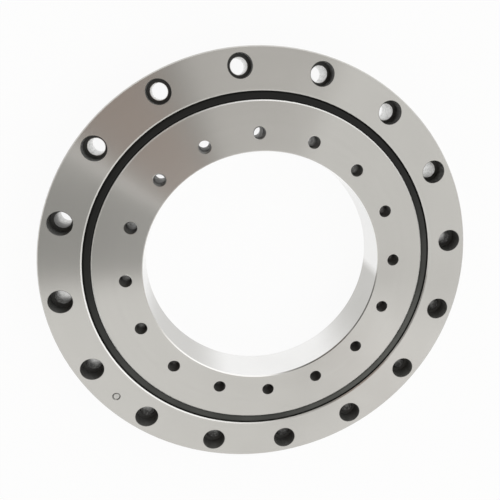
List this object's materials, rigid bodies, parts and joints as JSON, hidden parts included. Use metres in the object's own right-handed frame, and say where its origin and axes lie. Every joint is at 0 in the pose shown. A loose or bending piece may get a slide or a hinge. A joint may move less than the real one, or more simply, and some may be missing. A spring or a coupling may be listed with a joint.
{
  "type": "crossed roller bearing",
  "caption": "Flat crossed roller bearing: two one-piece rings bolted through their faces, rollers set crosswise in V raceways between them, and a rubber seal on each face.",
  "frame": {"origin": "middle of the lower face, on the bearing's axis", "axes": "+Z along the bearing's axis, towards the counterbored face; +X is to the picture's right"},
  "size_m": [0.38, 0.38, 0.04],
  "materials": {
    "ring_steel": "fine ground",
    "pin_steel": "ground",
    "roller_steel": "lapped",
    "seal_rubber": "matt black",
    "spacer_plastic": "moulded"
  },
  "bodies": {
    "outer_ring": {"outer_ring": "ring_steel", "filling_plug": "ring_steel", "plug_pin": "pin_steel", "upper_seal": "seal_rubber", "lower_seal": "seal_rubber"},
    "inner_ring": {"inner_ring": "ring_steel"},
    "roller_train": {"roller_spacers": "spacer_plastic"},
    "roller_01": {"roller_01": "roller_steel"},
    "roller_02": {"roller_02": "roller_steel"},
    "roller_03": {"roller_03": "roller_steel"},
    "roller_04": {"roller_04": "roller_steel"},
    "roller_05": {"roller_05": "roller_steel"},
    "roller_06": {"roller_06": "roller_steel"},
    "roller_07": {"roller_07": "roller_steel"},
    "roller_08": {"roller_08": "roller_steel"},
    "roller_09": {"roller_09": "roller_steel"},
    "roller_10": {"roller_10": "roller_steel"},
    "roller_11": {"roller_11": "roller_steel"},
    "roller_12": {"roller_12": "roller_steel"},
    "roller_13": {"roller_13": "roller_steel"},
    "roller_14": {"roller_14": "roller_steel"},
    "roller_15": {"roller_15": "roller_steel"},
    "roller_16": {"roller_16": "roller_steel"},
    "roller_17": {"roller_17": "roller_steel"},
    "roller_18": {"roller_18": "roller_steel"},
    "roller_19": {"roller_19": "roller_steel"},
    "roller_20": {"roller_20": "roller_steel"},
    "roller_21": {"roller_21": "roller_steel"},
    "roller_22": {"roller_22": "roller_steel"},
    "roller_23": {"roller_23": "roller_steel"},
    "roller_24": {"roller_24": "roller_steel"},
    "roller_25": {"roller_25": "roller_steel"},
    "roller_26": {"roller_26": "roller_steel"},
    "roller_27": {"roller_27": "roller_steel"},
    "roller_28": {"roller_28": "roller_steel"},
    "roller_29": {"roller_29": "roller_steel"},
    "roller_30": {"roller_30": "roller_steel"},
    "roller_31": {"roller_31": "roller_steel"},
    "roller_32": {"roller_32": "roller_steel"},
    "roller_33": {"roller_33": "roller_steel"},
    "roller_34": {"roller_34": "roller_steel"},
    "roller_35": {"roller_35": "roller_steel"},
    "roller_36": {"roller_36": "roller_steel"},
    "roller_37": {"roller_37": "roller_steel"},
    "roller_38": {"roller_38": "roller_steel"},
    "roller_39": {"roller_39": "roller_steel"},
    "roller_40": {"roller_40": "roller_steel"},
    "roller_41": {"roller_41": "roller_steel"},
    "roller_42": {"roller_42": "roller_steel"},
    "roller_43": {"roller_43": "roller_steel"},
    "roller_44": {"roller_44": "roller_steel"}
  },
  "joints": [
    {"name": "inner_ring_spin", "type": "hinge", "parent": "outer_ring", "child": "inner_ring", "pos_m": [0, 0, 0.02], "axis": [0, 0, 1], "continuous": true},
    {"name": "train_spin", "type": "hinge", "parent": "outer_ring", "child": "roller_train", "pos_m": [0, 0, 0.02], "axis": [0, 0, 1], "continuous": true},
    {"name": "roller_01_spin", "type": "hinge", "parent": "roller_train", "child": "roller_01", "pos_m": [0.14865, 0, 0.02], "axis": [0.7071, 0, 0.7071], "continuous": true},
    {"name": "roller_02_spin", "type": "hinge", "parent": "roller_train", "child": "roller_02", "pos_m": [0.14714, 0.02116, 0.02], "axis": [0.6999, 0.1006, -0.7071], "continuous": true},
    {"name": "roller_03_spin", "type": "hinge", "parent": "roller_train", "child": "roller_03", "pos_m": [0.14263, 0.04188, 0.02], "axis": [0.6785, 0.1992, 0.7071], "continuous": true},
    {"name": "roller_04_spin", "type": "hinge", "parent": "roller_train", "child": "roller_04", "pos_m": [0.13522, 0.06175, 0.02], "axis": [0.6432, 0.2937, -0.7071], "continuous": true},
    {"name": "roller_05_spin", "type": "hinge", "parent": "roller_train", "child": "roller_05", "pos_m": [0.12505, 0.08037, 0.02], "axis": [0.5949, 0.3823, 0.7071], "continuous": true},
    {"name": "roller_06_spin", "type": "hinge", "parent": "roller_train", "child": "roller_06", "pos_m": [0.11234, 0.09735, 0.02], "axis": [0.5344, 0.4631, -0.7071], "continuous": true},
    {"name": "roller_07_spin", "type": "hinge", "parent": "roller_train", "child": "roller_07", "pos_m": [0.09735, 0.11234, 0.02], "axis": [0.4631, 0.5344, 0.7071], "continuous": true},
    {"name": "roller_08_spin", "type": "hinge", "parent": "roller_train", "child": "roller_08", "pos_m": [0.08037, 0.12505, 0.02], "axis": [0.3823, 0.5949, -0.7071], "continuous": true},
    {"name": "roller_09_spin", "type": "hinge", "parent": "roller_train", "child": "roller_09", "pos_m": [0.06175, 0.13522, 0.02], "axis": [0.2937, 0.6432, 0.7071], "continuous": true},
    {"name": "roller_10_spin", "type": "hinge", "parent": "roller_train", "child": "roller_10", "pos_m": [0.04188, 0.14263, 0.02], "axis": [0.1992, 0.6785, -0.7071], "continuous": true},
    {"name": "roller_11_spin", "type": "hinge", "parent": "roller_train", "child": "roller_11", "pos_m": [0.02116, 0.14714, 0.02], "axis": [0.1006, 0.6999, 0.7071], "continuous": true},
    {"name": "roller_12_spin", "type": "hinge", "parent": "roller_train", "child": "roller_12", "pos_m": [0, 0.14865, 0.02], "axis": [0, 0.7071, -0.7071], "continuous": true},
    {"name": "roller_13_spin", "type": "hinge", "parent": "roller_train", "child": "roller_13", "pos_m": [-0.02116, 0.14714, 0.02], "axis": [-0.1006, 0.6999, 0.7071], "continuous": true},
    {"name": "roller_14_spin", "type": "hinge", "parent": "roller_train", "child": "roller_14", "pos_m": [-0.04188, 0.14263, 0.02], "axis": [-0.1992, 0.6785, -0.7071], "continuous": true},
    {"name": "roller_15_spin", "type": "hinge", "parent": "roller_train", "child": "roller_15", "pos_m": [-0.06175, 0.13522, 0.02], "axis": [-0.2937, 0.6432, 0.7071], "continuous": true},
    {"name": "roller_16_spin", "type": "hinge", "parent": "roller_train", "child": "roller_16", "pos_m": [-0.08037, 0.12505, 0.02], "axis": [-0.3823, 0.5949, -0.7071], "continuous": true},
    {"name": "roller_17_spin", "type": "hinge", "parent": "roller_train", "child": "roller_17", "pos_m": [-0.09735, 0.11234, 0.02], "axis": [-0.4631, 0.5344, 0.7071], "continuous": true},
    {"name": "roller_18_spin", "type": "hinge", "parent": "roller_train", "child": "roller_18", "pos_m": [-0.11234, 0.09735, 0.02], "axis": [-0.5344, 0.4631, -0.7071], "continuous": true},
    {"name": "roller_19_spin", "type": "hinge", "parent": "roller_train", "child": "roller_19", "pos_m": [-0.12505, 0.08037, 0.02], "axis": [-0.5949, 0.3823, 0.7071], "continuous": true},
    {"name": "roller_20_spin", "type": "hinge", "parent": "roller_train", "child": "roller_20", "pos_m": [-0.13522, 0.06175, 0.02], "axis": [-0.6432, 0.2937, -0.7071], "continuous": true},
    {"name": "roller_21_spin", "type": "hinge", "parent": "roller_train", "child": "roller_21", "pos_m": [-0.14263, 0.04188, 0.02], "axis": [-0.6785, 0.1992, 0.7071], "continuous": true},
    {"name": "roller_22_spin", "type": "hinge", "parent": "roller_train", "child": "roller_22", "pos_m": [-0.14714, 0.02116, 0.02], "axis": [-0.6999, 0.1006, -0.7071], "continuous": true},
    {"name": "roller_23_spin", "type": "hinge", "parent": "roller_train", "child": "roller_23", "pos_m": [-0.14865, 0, 0.02], "axis": [-0.7071, 0, 0.7071], "continuous": true},
    {"name": "roller_24_spin", "type": "hinge", "parent": "roller_train", "child": "roller_24", "pos_m": [-0.14714, -0.02116, 0.02], "axis": [-0.6999, -0.1006, -0.7071], "continuous": true},
    {"name": "roller_25_spin", "type": "hinge", "parent": "roller_train", "child": "roller_25", "pos_m": [-0.14263, -0.04188, 0.02], "axis": [-0.6785, -0.1992, 0.7071], "continuous": true},
    {"name": "roller_26_spin", "type": "hinge", "parent": "roller_train", "child": "roller_26", "pos_m": [-0.13522, -0.06175, 0.02], "axis": [-0.6432, -0.2937, -0.7071], "continuous": true},
    {"name": "roller_27_spin", "type": "hinge", "parent": "roller_train", "child": "roller_27", "pos_m": [-0.12505, -0.08037, 0.02], "axis": [-0.5949, -0.3823, 0.7071], "continuous": true},
    {"name": "roller_28_spin", "type": "hinge", "parent": "roller_train", "child": "roller_28", "pos_m": [-0.11234, -0.09735, 0.02], "axis": [-0.5344, -0.4631, -0.7071], "continuous": true},
    {"name": "roller_29_spin", "type": "hinge", "parent": "roller_train", "child": "roller_29", "pos_m": [-0.09735, -0.11234, 0.02], "axis": [-0.4631, -0.5344, 0.7071], "continuous": true},
    {"name": "roller_30_spin", "type": "hinge", "parent": "roller_train", "child": "roller_30", "pos_m": [-0.08037, -0.12505, 0.02], "axis": [-0.3823, -0.5949, -0.7071], "continuous": true},
    {"name": "roller_31_spin", "type": "hinge", "parent": "roller_train", "child": "roller_31", "pos_m": [-0.06175, -0.13522, 0.02], "axis": [-0.2937, -0.6432, 0.7071], "continuous": true},
    {"name": "roller_32_spin", "type": "hinge", "parent": "roller_train", "child": "roller_32", "pos_m": [-0.04188, -0.14263, 0.02], "axis": [-0.1992, -0.6785, -0.7071], "continuous": true},
    {"name": "roller_33_spin", "type": "hinge", "parent": "roller_train", "child": "roller_33", "pos_m": [-0.02116, -0.14714, 0.02], "axis": [-0.1006, -0.6999, 0.7071], "continuous": true},
    {"name": "roller_34_spin", "type": "hinge", "parent": "roller_train", "child": "roller_34", "pos_m": [0, -0.14865, 0.02], "axis": [0, -0.7071, -0.7071], "continuous": true},
    {"name": "roller_35_spin", "type": "hinge", "parent": "roller_train", "child": "roller_35", "pos_m": [0.02116, -0.14714, 0.02], "axis": [0.1006, -0.6999, 0.7071], "continuous": true},
    {"name": "roller_36_spin", "type": "hinge", "parent": "roller_train", "child": "roller_36", "pos_m": [0.04188, -0.14263, 0.02], "axis": [0.1992, -0.6785, -0.7071], "continuous": true},
    {"name": "roller_37_spin", "type": "hinge", "parent": "roller_train", "child": "roller_37", "pos_m": [0.06175, -0.13522, 0.02], "axis": [0.2937, -0.6432, 0.7071], "continuous": true},
    {"name": "roller_38_spin", "type": "hinge", "parent": "roller_train", "child": "roller_38", "pos_m": [0.08037, -0.12505, 0.02], "axis": [0.3823, -0.5949, -0.7071], "continuous": true},
    {"name": "roller_39_spin", "type": "hinge", "parent": "roller_train", "child": "roller_39", "pos_m": [0.09735, -0.11234, 0.02], "axis": [0.4631, -0.5344, 0.7071], "continuous": true},
    {"name": "roller_40_spin", "type": "hinge", "parent": "roller_train", "child": "roller_40", "pos_m": [0.11234, -0.09735, 0.02], "axis": [0.5344, -0.4631, -0.7071], "continuous": true},
    {"name": "roller_41_spin", "type": "hinge", "parent": "roller_train", "child": "roller_41", "pos_m": [0.12505, -0.08037, 0.02], "axis": [0.5949, -0.3823, 0.7071], "continuous": true},
    {"name": "roller_42_spin", "type": "hinge", "parent": "roller_train", "child": "roller_42", "pos_m": [0.13522, -0.06175, 0.02], "axis": [0.6432, -0.2937, -0.7071], "continuous": true},
    {"name": "roller_43_spin", "type": "hinge", "parent": "roller_train", "child": "roller_43", "pos_m": [0.14263, -0.04188, 0.02], "axis": [0.6785, -0.1992, 0.7071], "continuous": true},
    {"name": "roller_44_spin", "type": "hinge", "parent": "roller_train", "child": "roller_44", "pos_m": [0.14714, -0.02116, 0.02], "axis": [0.6999, -0.1006, -0.7071], "continuous": true}
  ],
  "couplings": [
    {"joint": "train_spin", "follows": "inner_ring_spin", "ratio": 0.48097},
    {"joint": "roller_01_spin", "follows": "inner_ring_spin", "ratio": -9.2772},
    {"joint": "roller_02_spin", "follows": "inner_ring_spin", "ratio": 9.2772},
    {"joint": "roller_03_spin", "follows": "inner_ring_spin", "ratio": -9.2772},
    {"joint": "roller_04_spin", "follows": "inner_ring_spin", "ratio": 9.2772},
    {"joint": "roller_05_spin", "follows": "inner_ring_spin", "ratio": -9.2772},
    {"joint": "roller_06_spin", "follows": "inner_ring_spin", "ratio": 9.2772},
    {"joint": "roller_07_spin", "follows": "inner_ring_spin", "ratio": -9.2772},
    {"joint": "roller_08_spin", "follows": "inner_ring_spin", "ratio": 9.2772},
    {"joint": "roller_09_spin", "follows": "inner_ring_spin", "ratio": -9.2772},
    {"joint": "roller_10_spin", "follows": "inner_ring_spin", "ratio": 9.2772},
    {"joint": "roller_11_spin", "follows": "inner_ring_spin", "ratio": -9.2772},
    {"joint": "roller_12_spin", "follows": "inner_ring_spin", "ratio": 9.2772},
    {"joint": "roller_13_spin", "follows": "inner_ring_spin", "ratio": -9.2772},
    {"joint": "roller_14_spin", "follows": "inner_ring_spin", "ratio": 9.2772},
    {"joint": "roller_15_spin", "follows": "inner_ring_spin", "ratio": -9.2772},
    {"joint": "roller_16_spin", "follows": "inner_ring_spin", "ratio": 9.2772},
    {"joint": "roller_17_spin", "follows": "inner_ring_spin", "ratio": -9.2772},
    {"joint": "roller_18_spin", "follows": "inner_ring_spin", "ratio": 9.2772},
    {"joint": "roller_19_spin", "follows": "inner_ring_spin", "ratio": -9.2772},
    {"joint": "roller_20_spin", "follows": "inner_ring_spin", "ratio": 9.2772},
    {"joint": "roller_21_spin", "follows": "inner_ring_spin", "ratio": -9.2772},
    {"joint": "roller_22_spin", "follows": "inner_ring_spin", "ratio": 9.2772},
    {"joint": "roller_23_spin", "follows": "inner_ring_spin", "ratio": -9.2772},
    {"joint": "roller_24_spin", "follows": "inner_ring_spin", "ratio": 9.2772},
    {"joint": "roller_25_spin", "follows": "inner_ring_spin", "ratio": -9.2772},
    {"joint": "roller_26_spin", "follows": "inner_ring_spin", "ratio": 9.2772},
    {"joint": "roller_27_spin", "follows": "inner_ring_spin", "ratio": -9.2772},
    {"joint": "roller_28_spin", "follows": "inner_ring_spin", "ratio": 9.2772},
    {"joint": "roller_29_spin", "follows": "inner_ring_spin", "ratio": -9.2772},
    {"joint": "roller_30_spin", "follows": "inner_ring_spin", "ratio": 9.2772},
    {"joint": "roller_31_spin", "follows": "inner_ring_spin", "ratio": -9.2772},
    {"joint": "roller_32_spin", "follows": "inner_ring_spin", "ratio": 9.2772},
    {"joint": "roller_33_spin", "follows": "inner_ring_spin", "ratio": -9.2772},
    {"joint": "roller_34_spin", "follows": "inner_ring_spin", "ratio": 9.2772},
    {"joint": "roller_35_spin", "follows": "inner_ring_spin", "ratio": -9.2772},
    {"joint": "roller_36_spin", "follows": "inner_ring_spin", "ratio": 9.2772},
    {"joint": "roller_37_spin", "follows": "inner_ring_spin", "ratio": -9.2772},
    {"joint": "roller_38_spin", "follows": "inner_ring_spin", "ratio": 9.2772},
    {"joint": "roller_39_spin", "follows": "inner_ring_spin", "ratio": -9.2772},
    {"joint": "roller_40_spin", "follows": "inner_ring_spin", "ratio": 9.2772},
    {"joint": "roller_41_spin", "follows": "inner_ring_spin", "ratio": -9.2772},
    {"joint": "roller_42_spin", "follows": "inner_ring_spin", "ratio": 9.2772},
    {"joint": "roller_43_spin", "follows": "inner_ring_spin", "ratio": -9.2772},
    {"joint": "roller_44_spin", "follows": "inner_ring_spin", "ratio": 9.2772}
  ]
}
